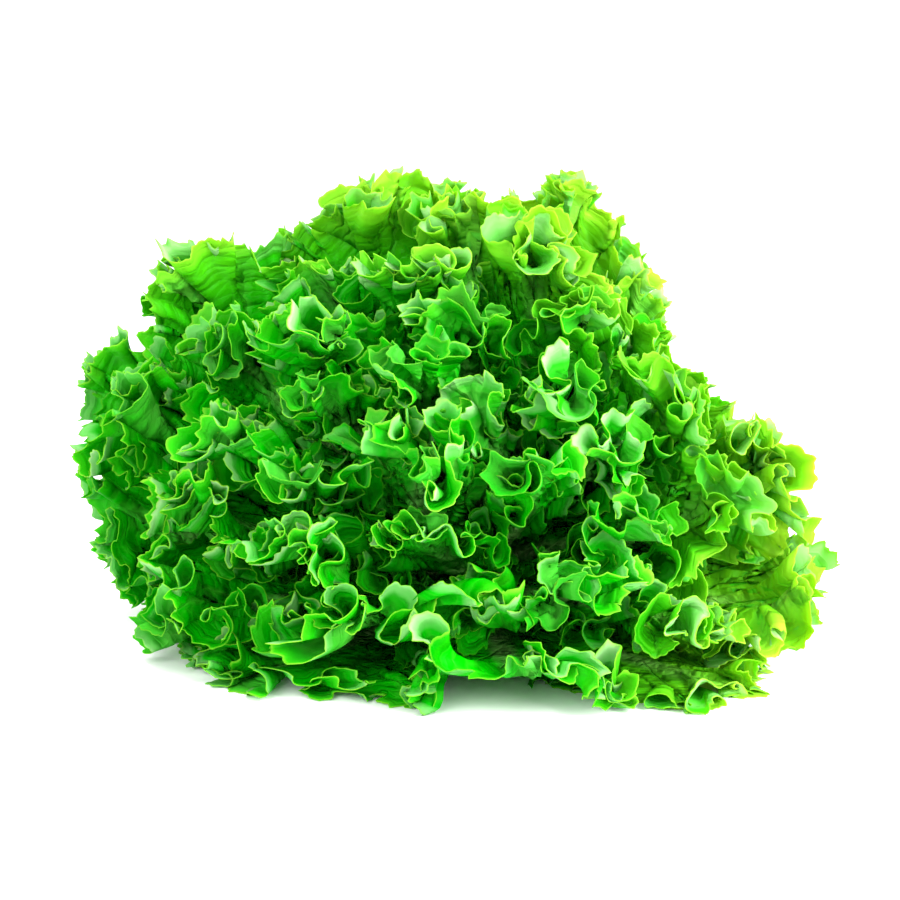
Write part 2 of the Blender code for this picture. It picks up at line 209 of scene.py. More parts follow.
def headPoint(angle, turn, along):  # a cubic Bezier from the stem to the rim, chosen by angle and turn
    s = headShape
    right, up, forward = headAxes()
    start, outward = leavingStem(angle, turn)
    polar, bearing = lyingDirection(angle, turn, along)
    sideways = np.cos(bearing)[..., None] * right + np.sin(bearing)[..., None] * up
    length = reachTo(polar, bearing)[..., None]
    end = length * (np.cos(polar)[..., None] * forward + np.sin(polar)[..., None] * sideways)
    leaving = np.radians(s["leavingAngle"] + s["leavingShare"] * angle)[..., None]
    leaning = unit(outward + s["leavingLean"] * sideways)
    first = start + s["rootHandle"] * length * (np.cos(leaving) * forward + np.sin(leaving) * leaning)
    rim = np.degrees(polar) / s["lastAngle"]
    arriving = (polar * (s["arrivingShare"] + s["arrivingRimShare"] * rim ** 2))[..., None]
    second = end - s["tipHandle"] * length * (np.cos(arriving) * forward + np.sin(arriving) * sideways)
    gone = along[..., None]
    left = 1.0 - gone
    nearStem = left ** 3 * start + 3.0 * left ** 2 * gone * first
    nearTip = 3.0 * left * gone ** 2 * second + gone ** 3 * end
    return stemBase() + nearStem + nearTip


def leafOutline(length, halfWidth):
    # half a circle drawn out to the leaf, tip to root: powers of the sine and cosine make it broad above its
    # widest place and slender below, where the petiole widens it again; with its arc length
    bend = np.linspace(0.0, math.pi, 361)
    upper = bend < math.pi / 2
    rise = np.cos(bend)
    swell = np.clip(np.sin(bend), 0.0, 1.0) ** np.where(upper, 0.62, 1.3)
    petiole = leafShape["petioleHalfWidth"] * math.sqrt(min(halfWidth / leafShape["stoutHalfWidth"], 1.0))
    x = halfWidth * swell + petiole * (bend / math.pi) ** 3
    widest = leafShape["widestAt"]
    above = widest + (1.0 - widest) * np.clip(rise, 0.0, 1.0) ** 0.55
    y = length * np.where(upper, above, widest * (1.0 + rise))
    run = np.concatenate([[0.0], np.cumsum(np.hypot(np.diff(x), np.diff(y)))])
    return run / run[-1], x, y, run[-1]


def planLeaf(index, step):  # one leaf's name, place in the spiral, size and outline
    s, shape = headShape, leafShape
    heart = index < s["heartCount"]
    inner = index < s["heartCount"] + s["innerCount"]
    kind = "heart_leaf" if heart else "inner_leaf" if inner else "outer_leaf"
    angle = s["firstAngle"] + step * (s["heartSpacing"] * index if heart else index + s["heartGap"])
    turn = s["firstTurn"] + s["goldenTurn"] * index
    halfAngle = s["heartHalfAngle"] if heart else s["halfAngle"]
    beside = headPoint(np.full(2, angle), turn + np.array([-0.5, 0.5]), np.full(2, shape["widthAt"]))
    halfWidth = shape["widthShare"] * halfAngle * float(np.linalg.norm(beside[1] - beside[0]))
    root, tip = headPoint(np.full(2, angle), np.full(2, turn), np.array([0.0, 1.0]))
    grown = np.random.default_rng(shape["seed"] + index).uniform(shape["shortest"], shape["longest"])
    length = grown * float(np.linalg.norm(tip - root))
    outline = leafOutline(length, halfWidth)
    wave = shape["waveLength"] * min(max(halfWidth / shape["fullWaveHalfWidth"], 0.6), 1.0)
    return {
        "name": f"{kind}_{index + 1:02d}", "kind": kind, "angle": angle, "turn": turn,
        "room": step * (s["heartRoom"] if heart else s["room"]), "halfAngle": halfAngle,
        "halfWidth": halfWidth, "length": length, "grown": grown, "outline": outline,
        "wave": wave, "waves": round(2.0 * outline[3] / wave), "seed": shape["seed"] * 1000 + index * 10,
    }


def planLeaves():  # one dictionary a leaf, from the heart outwards, at even steps of angle
    s = headShape
    step = (s["lastAngle"] - s["firstAngle"]) / (s["leafCount"] - 1 + s["heartGap"])
    return [planLeaf(index, step) for index in range(s["leafCount"])]


def flatLeaf(leaf, sigma, share):
    # x, y, frill growth and distance from the margin of the leaf pressed flat: sigma goes round the margin
    # from -1 to 1 with the tip at 0, and share in straight lines from 0 at the midrib to 1 at the margin
    around = np.minimum(np.abs(sigma), 1.0)
    run, edgeX, edgeY, _ = leaf["outline"]
    x = np.interp(around, run, edgeX)
    y = np.interp(around, run, edgeY)
    foot = leafShape["footShare"] * leaf["length"] * (1.0 - around) ** 1.6
    span = np.maximum(np.hypot(x, y - foot), 0.001 * mm)
    flare = np.clip(1.0 - (1.0 - share) * span / np.minimum(span, leafShape["frillDepth"]), 0.0, 1.0)
    return np.sign(sigma) * x * share, foot + (y - foot) * share, flare, (1.0 - share) * span


def frillHeight(leaf, y):  # none at the root, all from the middle up
    return np.clip((y / leaf["length"] - leafShape["frillsFrom"]) / leafShape["frillsOver"], 0.0, 1.0) ** 0.8


def frilledLeaf(leaf, sigma, share):  # a sine swing off the blade, a doubled sine along it, lobes between
    x, y, flare, _ = flatLeaf(leaf, sigma, share)
    afterX, afterY, _, _ = flatLeaf(leaf, sigma + 0.001, share)
    beforeX, beforeY, _, _ = flatLeaf(leaf, sigma - 0.001, share)
    pace = np.maximum(np.hypot(afterX - beforeX, afterY - beforeY), 1e-12)
    alongX, alongY = (afterX - beforeX) / pace, (afterY - beforeY) / pace
    seed = leaf["seed"]
    phase = math.pi * leaf["waves"] * sigma + 1.3 * wander(seed, sigma, 4.0) + seed
    height = frillHeight(leaf, y)
    growth = 0.60 * flare ** 1.2 + 0.40 * flare ** 4
    uneven = np.clip(0.92 + 0.20 * wander(seed + 1, sigma, 6.0), 0.4, 1.1)
    swing = height * growth * uneven * np.sin(phase)
    overhang = -leafShape["overhang"] * leaf["wave"] * flare ** 1.5 * height * np.sin(2.0 * phase)
    bulge = 0.35 - 0.6 * np.abs(np.sin(phase)) + 0.6 * wander(seed + 2, sigma, 7.0)
    lobe = leafShape["lobe"] * leaf["wave"] * flare ** 2 * height * bulge
    return x + alongX * overhang - alongY * lobe, y + alongY * overhang + alongX * lobe, swing


def bendLeaf(leaf, x, y, swing):
    # wraps the leaf round the head: y goes along its curve, x turns it round the stem's axis by softly
    # limited radians, and the swing tilts it by softly limited degrees, within its own room
    along = y / leaf["length"] * leaf["grown"]
    inside = np.clip(along, 0.0, 1.0)
    angle, turn = np.full_like(along, leaf["angle"]), np.full_like(along, leaf["turn"])
    across = headPoint(angle, turn + 0.05, inside) - headPoint(angle, turn - 0.05, inside)
    perRadian = np.maximum(np.linalg.norm(across, axis=-1) / 0.10, leafShape["leastPerRadian"])
    through = headPoint(angle + 0.5, turn, inside) - headPoint(angle - 0.5, turn, inside)
    perDegree = np.maximum(np.linalg.norm(through, axis=-1), leafShape["leastPerDegree"])
    leastRoom = leafShape["leastRoom"] * leaf["room"]
    room = np.maximum(leaf["room"] - headShape["clearance"] / perDegree, leastRoom)
    turned = turn + softLimit(x / perRadian, leaf["halfAngle"])
    tilt = leafShape["fuller"] * room * softLimit(leafShape["swing"] * swing, 1.0)
    return headPoint(angle - tilt, turned, along)


def ribWeight(leaf, x, y):  # the rib's share of its full thickness, a parabola across that thins to the tip
    stout = min(leaf["halfWidth"] / leafShape["stoutHalfWidth"], 1.0)
    beside = np.clip(1.0 - (x / leafShape["ribHalfWidth"]) ** 2, 0.0, 1.0)
    return stout * beside * np.clip(1.0 - y / (leafShape["ribEnd"] * leaf["length"]), 0.0, 1.0)


def surfaceFrame(points):  # unit vectors sideways along rows, outward along columns, and off the blade
    outward = unit(np.gradient(points, axis=0))
    sideways = unit(np.gradient(points, axis=1))
    return sideways, outward, unit(np.cross(sideways, outward))


def reachedFrom(fromMargin, depth):  # 1 at the margin, falling evenly to 0 at the depth
    return np.clip(1.0 - fromMargin / depth, 0.0, 1.0)


def pleatAndCrimp(leaf, sigma, run, height, fromMargin):
    # how far the blade stands off: a slow sine whose pleats run in deep from the margin, and a quick one
    # that comes and goes along it
    shape, seed, waves = leafShape, leaf["seed"], leaf["waves"]
    pleated = shape["pleatsPerWave"] * math.pi * waves * sigma + 2.0 * wander(seed + 8, sigma, 9.0)
    inward = reachedFrom(fromMargin, shape["pleatDepth"])
    pleat = shape["pleat"] * inward ** 1.5 * height * np.sin(pleated)
    crimped = reachedFrom(fromMargin, shape["crimpDepth"]) ** 1.5
    crimped = crimped * height * np.clip(0.35 + 0.9 * wander(seed + 10, sigma, 6.0), 0.0, 1.0)
    tiny = 2.0 * math.pi * run / shape["crimpSpacing"] + 2.0 * wander(seed + 11, sigma, 1.5 * waves)
    return pleat, shape["crimp"] * crimped * np.sin(tiny)


def ruffled(leaf, points, sigma, height, flare, fromMargin):
    # second ruffles: each point goes round a small loop of normal, sideways and outward sines, counted along
    # the frilled margin's real length, so that it overhangs itself; with pleats, crimps and a rolled edge
    shape, seed, waves = leafShape, leaf["seed"], leaf["waves"]
    sideways, outward, normal = surfaceFrame(points)
    run = np.interp(sigma, leaf["marginSigma"], leaf["frillRun"])
    pleat, crimp = pleatAndCrimp(leaf, sigma, run, height, fromMargin)
    frilled = np.minimum(flare ** 0.5, reachedFrom(fromMargin, shape["ruffleDepth"]))
    busy = height * (0.60 + 0.40 * np.clip(0.5 + 0.9 * wander(seed + 4, sigma, 5.0), 0.0, 1.0))
    small = 2.0 * math.pi * run / shape["ruffleSpacing"] + 2.2 * wander(seed + 3, sigma, 0.9 * waves)
    ruffle = shape["ruffle"] * frilled ** 3 * busy * np.sin(small) + pleat + crimp
    hook = -shape["hook"] * frilled ** 4 * busy * np.sin(2.0 * small)
    swayed = small + 1.5 * wander(seed + 9, sigma, 0.7 * waves)
    sway = shape["sway"] * frilled ** 4 * busy * np.cos(swayed)
    curl = shape["curl"] * flare ** 10 * height * wander(seed + 6, sigma, 11.0)
    off = normal * (ruffle + curl)[..., None]
    return points + off + sideways * hook[..., None] + outward * sway[..., None]


def toothed(leaf, points, sigma, height, fromMargin):
    # teeth counted along the ruffled margin's real length: peaks with hollow sides, the square of a triangle
    # wave, and small straight ones, pushed out and a little off the blade, fading inwards
    shape, seed, waves = leafShape, leaf["seed"], leaf["waves"]
    _, outward, normal = surfaceFrame(points)
    run = np.interp(sigma, leaf["marginSigma"], leaf["ruffleRun"])
    count = run / shape["toothSpacing"] + 0.45 * wander(seed + 5, sigma, 1.3 * waves)
    peak = np.abs(2.0 * (count % 1.0) - 1.0) ** 2.0 - 0.25
    uneven = np.clip(0.70 + 0.65 * wander(seed + 7, sigma, 2.0 * waves), 0.1, 1.4)
    push = shape["tooth"] * np.exp(-fromMargin / shape["toothDepth"]) * uneven * peak
    smallCount = run / shape["nickSpacing"] + 0.5 * wander(seed + 12, sigma, 2.0 * waves)
    smallPeak = np.abs(2.0 * (smallCount % 1.0) - 1.0) - 0.5
    push = push + shape["nick"] * np.exp(-fromMargin / shape["nickDepth"]) * smallPeak
    push = push * np.clip(height, 0.3, 1.0)
    aside = 0.5 * push * wander(seed + 2, sigma, 3.0 * waves)
    return points + outward * push[..., None] + normal * aside[..., None]


def measureMargin(leaf):  # the length along the margin at many sigmas, with first frills and with ruffles
    measures = np.linspace(-1.0, 1.0, leafShape["measuresPerWave"] * leaf["waves"] + 1)
    sigma, share = np.meshgrid(measures, np.array([0.985, 1.0]))
    leaf["marginSigma"] = sigma[0]
    _, y, flare, fromMargin = flatLeaf(leaf, sigma, share)
    points = bendLeaf(leaf, *frilledLeaf(leaf, sigma, share))
    leaf["frillRun"] = lengthAlong(points[-1])
    ruffles = ruffled(leaf, points, sigma, frillHeight(leaf, y), flare, fromMargin)
    leaf["ruffleRun"] = lengthAlong(ruffles[-1])


def gridSigma(leaf, columns):
    # sigma of every column in every row: even at the midrib, and towards the margin the columns slide to
    # nearly equal steps along the margin's real length
    even = np.linspace(0.0, 1.0, columns + 1)
    measured = 0.85 * leaf["ruffleRun"] / leaf["ruffleRun"][-1] + 0.15 * (leaf["marginSigma"] + 1.0) / 2.0
    atMargin = np.interp(even, measured, leaf["marginSigma"])
    share = np.array([share for share, _ in leafRows])[:, None]
    return (2.0 * even - 1.0) + (atMargin - (2.0 * even - 1.0)) * smoothStep(0.1, 0.8, share), share


def leafSheet(leaf, columns):
    # the leaf's middle sheet on the full grid: frilled, wrapped round the head, ruffled and toothed, and
    # kept above the floor by a soft maximum; with its thickness and the measures that its materials need
    shape, softness = leafShape, headShape["floorSoftness"]
    sigma, share = np.broadcast_arrays(*gridSigma(leaf, columns))
    x, y, flare, fromMargin = flatLeaf(leaf, sigma, share)
    points = bendLeaf(leaf, *frilledLeaf(leaf, sigma, share))
    height = frillHeight(leaf, y)
    points = ruffled(leaf, points, sigma, height, flare, fromMargin)
    points = toothed(leaf, points, sigma, height, fromMargin)
    inward = smoothStep(0.0, shape["thinning"], fromMargin)
    thickness = shape["margin"] + (shape["blade"] - shape["margin"]) * inward
    thickness = thickness + (shape["rib"] - shape["blade"]) * ribWeight(leaf, x, y)
    yielding = softness * np.logaddexp(0.0, points[..., 2] / softness)
    points[..., 2] = np.maximum(yielding - headShape["floorPress"], thickness)
    return {
        "points": points, "thickness": thickness, "x": x, "y": y,
        "sigma": sigma, "share": share, "fromMargin": fromMargin,
    }


def thinnedSheet(sheet, columns):
    # each row keeps every eighth, fourth, second or single column, and both halves share the midrib's points
    kept = [(number, np.arange(0, columns + 1, apart)) for number, (_, apart) in enumerate(leafRows)]
    kept[0] = (0, np.arange(0, columns // 2 + 1, leafRows[0][1]))
    return {
        name: np.concatenate([values[number, chosen] for number, chosen in kept])
        for name, values in sheet.items()
    }


def leafFaces(columns):
    # quads between rows of one spacing, and three triangles a step where the next row is twice as fine
    rows, quads, triangles, count = [], [], [], 0
    for number, (_, apart) in enumerate(leafRows):
        steps = columns // apart
        ids = count + np.arange(steps + 1)
        if number == 0:
            ids = np.minimum(ids, steps - ids)
        count = int(ids.max()) + 1
        rows.append(ids)
    for inner, outer in zip(rows, rows[1:]):
        if len(inner) == len(outer):
            quads.append(np.stack([inner[:-1], inner[1:], outer[1:], outer[:-1]], axis=1))
            continue
        near, nearNext = inner[:-1], inner[1:]
        far, between, farNext = outer[:-2:2], outer[1:-1:2], outer[2::2]
        fan = ((near, between, far), (near, nearNext, between), (nearNext, farNext, between))
        triangles += [np.stack(corners, axis=1) for corners in fan]
    back = [row[-1] for row in rows[-2::-1]]
    forth = [row[0] for row in rows[1:-1]]
    return np.concatenate(quads), np.concatenate(triangles), np.concatenate([rows[-1], back, forth])


def vertexNormals(points, quads, triangles):  # the crossed diagonals of the faces round each point, summed
    total = np.zeros_like(points)
    for corners in (quads, triangles):
        first, second, third, last = (points[corners[:, place]] for place in (0, 1, 2, -1))
        across = np.cross(third - first, last - second)
        for corner in corners.T:
            np.add.at(total, corner, across)
    return unit(total)


def closedBlade(sheet, quads, triangles, rim, underSide, upperSide):
    # two skins off one sheet, the underside along its normals and the upper face against them, joined
    # round the rim
    normals = vertexNormals(sheet, quads, triangles)
    points = np.concatenate([sheet + normals * underSide[:, None], sheet - normals * upperSide[:, None]])
    count, after = len(sheet), np.roll(rim, -1)
    joined = np.stack([rim, after, after + count, rim + count], axis=1)
    faces = quads.tolist() + triangles.tolist()
    faces += (quads[:, ::-1] + count).tolist() + (triangles[:, ::-1] + count).tolist() + joined.tolist()
    isUpper = np.arange(len(faces)) >= len(quads) + len(triangles)
    return points, faces, isUpper


# where the light is painted: the rim of the head's upper right, in shares of its half width and its height
paintedLightRim = {
    "halfWidth": 145 * mm, "height": 174 * mm, "middleHeight": 60 * mm, "middleLeft": 0.12,
    "fromMiddle": (0.56, 1.05), "upAndRight": (-0.8, 0.8),
}


def paintedLightShare(points):
    # the share of painted light: one smooth step away from the middle times one up and to the right: 1 at
    # the rim of the head's upper right, and 0 in its middle and lower left
    r = paintedLightRim
    x, z = points[:, 0] / r["halfWidth"], points[:, 2]
    fromMiddle = np.hypot(x + r["middleLeft"], (z - r["middleHeight"]) / (r["height"] - r["middleHeight"]))
    return smoothStep(*r["fromMiddle"], fromMiddle) * smoothStep(*r["upAndRight"], x + z / r["height"])


def makeLeaf(leaf, materials):  # one leaf as a closed blade of two skins, marked and unrolled for materials
    columns = leafShape["columnsPerWave"] * 2 * (leaf["waves"] // 2)
    measureMargin(leaf)
    sheet = thinnedSheet(leafSheet(leaf, columns), columns)
    quads, triangles, rim = leafFaces(columns)
    under, thickness = leafShape["underside"], sheet["thickness"]
    points, faces, isUpper = closedBlade(
        sheet["points"], quads, triangles, rim, under * thickness, (1.0 - under) * thickness,
    )
    mesh = bpy.data.meshes.new(leaf["name"] + "_fine")
    mesh.from_pydata(points.tolist(), [], faces)
    mesh.polygons.foreach_set("material_index", isUpper.astype(np.int32))
    # the last mark is the share of painted light at each point
    marks = {
        "acrossLeaf": sheet["x"], "upLeaf": sheet["y"] / leaf["length"], "roundLeaf": sheet["sigma"],
        "outLeaf": sheet["share"], "fromMargin": sheet["fromMargin"], "paintedLight": paintedLightShare(sheet["points"]),
    }
    for name, values in marks.items():
        markPoints(mesh, name, np.tile(values, 2))
    unrollPoints(mesh, "flatLeaf", np.tile(np.stack([sheet["x"], sheet["y"]], axis=1), (2, 1)) / uvUnit)
    mesh.shade_smooth()
    for material in materials:
        mesh.materials.append(material)
    piece = addObject(leaf["name"] + "_fine", mesh)
    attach(piece, "root")
    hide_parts(leaf["name"])
    return mesh


def hexColour(text):  # an sRGB hex value as linear red, green, blue, alpha
    parts = [int(text[i:i + 2], 16) / 255.0 for i in (1, 3, 5)]
    return tuple(p / 12.92 if p <= 0.04045 else ((p + 0.055) / 1.055) ** 2.4 for p in parts) + (1.0,)


def addNode(tree, kind, settings=None, links=None):
    # a node with its settings, on itself or on its sockets by name or number, and what feeds its sockets
    node = tree.nodes.new(kind)
    for key, value in (settings or {}).items():
        if isinstance(key, int) or key in node.inputs:
            node.inputs[key].default_value = value
        else:
            setattr(node, key, value)
    for key, source in (links or {}).items():
        tree.links.new(source, node.inputs[key])
    return node


freshLeaf = {
    # sRGB colours of the blade in its lighter and darker parts, of its underside, veins, margin (paler,
    # partly a painted sheen) and outermost edge, and of the light that comes through it
    "heart_leaf": {
        "light": "#10CA06", "dark": "#009000", "under": "#1CB216", "vein": "#7CD850", "margin": "#60D02A",
        "edge": "#A4DC44", "through": "#2AD406",
    },
    "inner_leaf": {
        "light": "#04C802", "dark": "#008600", "under": "#0CAE0A", "vein": "#54CC34", "margin": "#50CC22",
        "edge": "#9CD83C", "through": "#10D204",
    },
    "outer_leaf": {
        "light": "#04C602", "dark": "#008400", "under": "#0CAE0A", "vein": "#54CA34", "margin": "#54CC22",
        "edge": "#A0D83A", "through": "#12D204",
    },
    "paintedLit": "#86CC20", "paintedLitMargin": "#B8DC44", "paintedLitThrough": "#D2EE30",  # painted light: yellower blade, margin and light through it at the rim of the head's upper right
    "rib": "#B4DC86", "paleUnderAndSheen": "#C6E6AE",  # the underside near the margin: partly its own paler colour, partly a painted sheen off its wax
    "cloud": 12.5 * mm, "cloudRange": (0.35, 0.65), "paintedLitShare": (0.35, 0.80), "underShare": 0.65,
    "sideVeins": (9.0, 0.05), "smallVeins": (27.0, 0.09),  # on each side, and half their width in spacings
    "veinBend": 14.3 * mm, "bendShare": 0.05, "smallVeinShare": 0.55, "netShare": 0.40,
    "veinShown": 0.42, "veinShownUnder": 0.50, "veinFade": (0.5 * mm, 6 * mm),
    "netCell": 4.0 * mm, "netWidth": 0.10, "cellEdge": 0.35, "blister": 8.0 * mm,
    "relief": 1 * mm, "blisterHeight": 5.0, "veinHeight": -1.2, "cellHeight": 0.6,  # heights in reliefs
    "ribWidth": (1.5 * mm, 6 * mm), "ribShown": 0.7, "ribFade": (0.25, 0.80), "rootPale": 0.12,
    "marginWidth": (4 * mm, 11 * mm),  # without painted light and where the light is painted
    "patchRange": (0.40, 0.62), "patchShare": 0.90,
    "edgeWidth": (0.2 * mm, 1.1 * mm), "edgePatch": 5.55 * mm, "tipFrom": (0.60, 0.92),
    "roughness": 0.38, "underRoughness": 0.48, "ior": 1.42, "specular": 0.06,
    "seeThrough": (0.32, 0.52), "thinWidth": 7 * mm,  # shares of light let through, inside and at the margin
    "bladeTint": 0.30,
}


def leafReadings(tree):
    # what the leaf's patterns are made from: its flat place, the marks on its points, sigma bent a little by
    # noise, broad clouds, the distance from the lines of a net, and how near the tip is
    place = addNode(tree, "ShaderNodeUVMap", {"uv_map": "flatLeaf"}).outputs[0]
    read = {
        name: addNode(tree, "ShaderNodeAttribute", {"attribute_name": name}).outputs["Fac"]
        for name in ("acrossLeaf", "upLeaf", "roundLeaf", "outLeaf", "fromMargin", "paintedLight")
    }
    bend = addNode(
        tree, "ShaderNodeTexNoise", {"Scale": uvUnit / freshLeaf["veinBend"], "Detail": 2.0},
        {"Vector": place},
    ).outputs[0]
    bent = addNode(
        tree, "ShaderNodeMath", {"operation": "MULTIPLY_ADD", 1: freshLeaf["bendShare"]},
        {0: bend, 2: read["roundLeaf"]},
    ).outputs[0]
    clouds = addNode(
        tree, "ShaderNodeTexNoise", {"Scale": uvUnit / freshLeaf["cloud"], "Detail": 4.0}, {"Vector": place},
    ).outputs[0]
    net = addNode(
        tree, "ShaderNodeTexVoronoi",
        {"feature": "DISTANCE_TO_EDGE", "Scale": uvUnit / freshLeaf["netCell"]}, {"Vector": place},
    ).outputs[0]
    low, high = freshLeaf["tipFrom"]
    towardsTip = addNode(
        tree, "ShaderNodeMapRange", {"From Min": low, "From Max": high, "To Min": 0.20},
        {"Value": read["upLeaf"]},
    ).outputs[0]
    return {**read, "place": place, "bent": bent, "clouds": clouds, "net": net, "towardsTip": towardsTip}


def veinLines(tree, read, veins):  # 1 on lines of one bent sigma, which leave the rib and fan out
    count, width = veins
    counted = addNode(
        tree, "ShaderNodeMath", {"operation": "MULTIPLY", 1: count}, {0: read["bent"]},
    ).outputs[0]
    fromVein = addNode(tree, "ShaderNodeMath", {"operation": "PINGPONG", 1: 0.5}, {0: counted}).outputs[0]
    return addNode(
        tree, "ShaderNodeMapRange", {"From Max": width, "To Min": 1.0, "To Max": 0.0}, {"Value": fromVein},
    ).outputs[0]


def veinShare(tree, read, sideVeins, under):
    # how much of the vein's colour shows: side veins, with small ones and the net between them away from the
    # rib, all fading towards the margin
    smallVeins = veinLines(tree, read, freshLeaf["smallVeins"])
    faint = addNode(
        tree, "ShaderNodeMath", {"operation": "MULTIPLY", 1: freshLeaf["smallVeinShare"]}, {0: smallVeins},
    ).outputs[0]
    netLine = addNode(
        tree, "ShaderNodeMapRange",
        {"From Max": freshLeaf["netWidth"], "To Min": freshLeaf["netShare"], "To Max": 0.0},
        {"Value": read["net"]},
    ).outputs[0]
    fine = addNode(tree, "ShaderNodeMath", {"operation": "MAXIMUM"}, {0: faint, 1: netLine}).outputs[0]
    beyondRib = addNode(
        tree, "ShaderNodeMapRange", {"From Min": 0.10, "From Max": 0.45}, {"Value": read["outLeaf"]},
    ).outputs[0]
    fine = addNode(tree, "ShaderNodeMath", {"operation": "MULTIPLY"}, {0: fine, 1: beyondRib}).outputs[0]
    veined = addNode(tree, "ShaderNodeMath", {"operation": "MAXIMUM"}, {0: sideVeins, 1: fine}).outputs[0]
    start, full = freshLeaf["veinFade"]
    shown = freshLeaf["veinShownUnder"] if under else freshLeaf["veinShown"]
    fading = addNode(
        tree, "ShaderNodeMapRange", {"From Min": start, "From Max": full, "To Min": 0.1, "To Max": shown},
        {"Value": read["fromMargin"]},
    ).outputs[0]
    return addNode(tree, "ShaderNodeMath", {"operation": "MULTIPLY"}, {0: veined, 1: fading}).outputs[0]


def cloudedColour(tree, read, look, under):
    # light and dark green in clouds, yellower where the light is painted at the head's upper right rim, and
    # duller on the underside
    low, high = freshLeaf["cloudRange"]
    clouded = addNode(
        tree, "ShaderNodeMapRange", {"From Min": low, "From Max": high}, {"Value": read["clouds"]},
    ).outputs[0]
    blade = addNode(
        tree, "ShaderNodeMix",
        {"data_type": "RGBA", 6: hexColour(look["dark"]), 7: hexColour(look["light"])}, {0: clouded},
    ).outputs[2]
    # painted light: clouds of yellower green at the head's upper right rim
    least, most = freshLeaf["paintedLitShare"]
    mottled = addNode(
        tree, "ShaderNodeMapRange", {"From Min": low, "From Max": high, "To Min": least, "To Max": most},
        {"Value": read["clouds"]},
    ).outputs[0]
    paintedLit = addNode(
        tree, "ShaderNodeMath", {"operation": "MULTIPLY"}, {0: read["paintedLight"], 1: mottled},
    ).outputs[0]
    blade = addNode(
        tree, "ShaderNodeMix", {"data_type": "RGBA", 7: hexColour(freshLeaf["paintedLit"])},
        {0: paintedLit, 6: blade},
    ).outputs[2]
    if not under:
        return blade
    return addNode(
        tree, "ShaderNodeMix",
        {"data_type": "RGBA", 0: freshLeaf["underShare"], 7: hexColour(look["under"])}, {6: blade},
    ).outputs[2]


def ribbedColour(tree, read, blade):  # the pale rib, narrow and fading towards the tip, and the pale foot
    narrow, wide = freshLeaf["ribWidth"]
    low, high = freshLeaf["ribFade"]
    beside = addNode(tree, "ShaderNodeMath", {"operation": "ABSOLUTE"}, {0: read["acrossLeaf"]}).outputs[0]
    besideRib = addNode(
        tree, "ShaderNodeMapRange",
        {"From Min": narrow, "From Max": wide, "To Min": freshLeaf["ribShown"], "To Max": 0.0},
        {"Value": beside},
    ).outputs[0]
    upRib = addNode(
        tree, "ShaderNodeMapRange", {"From Min": low, "From Max": high, "To Min": 1.0, "To Max": 0.15},
        {"Value": read["upLeaf"]},
    ).outputs[0]
    ribbed = addNode(tree, "ShaderNodeMath", {"operation": "MULTIPLY"}, {0: besideRib, 1: upRib}).outputs[0]
    atRoot = addNode(
        tree, "ShaderNodeMapRange",
        {"From Max": freshLeaf["rootPale"], "To Min": freshLeaf["ribShown"], "To Max": 0.0},
        {"Value": read["upLeaf"]},
    ).outputs[0]
    ribbed = addNode(tree, "ShaderNodeMath", {"operation": "MAXIMUM"}, {0: ribbed, 1: atRoot}).outputs[0]
    return addNode(
        tree, "ShaderNodeMix", {"data_type": "RGBA", 7: hexColour(freshLeaf["rib"])}, {0: ribbed, 6: blade},
    ).outputs[2]


def marginAndSheenColour(tree, read, look, under, blade):
    # patches of paler blade at the margin, partly its own colour and partly a painted sheen, most of them
    # near the tip, and wider and yellower where the light is painted
    shaded, paintedLight = freshLeaf["marginWidth"]
    marginWidth = addNode(
        tree, "ShaderNodeMapRange", {"To Min": shaded, "To Max": paintedLight}, {"Value": read["paintedLight"]},
    ).outputs[0]
    nearMargin = addNode(
        tree, "ShaderNodeMapRange", {"To Min": 1.0, "To Max": 0.0},
        {"Value": read["fromMargin"], "From Max": marginWidth},
    ).outputs[0]
    low, high = freshLeaf["patchRange"]
    patchy = addNode(
        tree, "ShaderNodeMapRange", {"From Min": low, "From Max": high, "To Max": freshLeaf["patchShare"]},
        {"Value": read["clouds"]},
    ).outputs[0]
    paler = addNode(tree, "ShaderNodeMath", {"operation": "MULTIPLY"}, {0: nearMargin, 1: patchy}).outputs[0]
    paler = addNode(
        tree, "ShaderNodeMath", {"operation": "MULTIPLY"}, {0: paler, 1: read["towardsTip"]},
    ).outputs[0]
    # the palest colour: yellower where the light is painted; on the underside a pale colour that is partly a
    # painted sheen
    inShade = hexColour(freshLeaf["paleUnderAndSheen"] if under else look["margin"])
    inLight = hexColour(freshLeaf["paleUnderAndSheen"] if under else freshLeaf["paintedLitMargin"])
    palest = addNode(
        tree, "ShaderNodeMix", {"data_type": "RGBA", 6: inShade, 7: inLight}, {0: read["paintedLight"]},
    ).outputs[2]
    return addNode(tree, "ShaderNodeMix", {"data_type": "RGBA"}, {0: paler, 6: blade, 7: palest}).outputs[2]


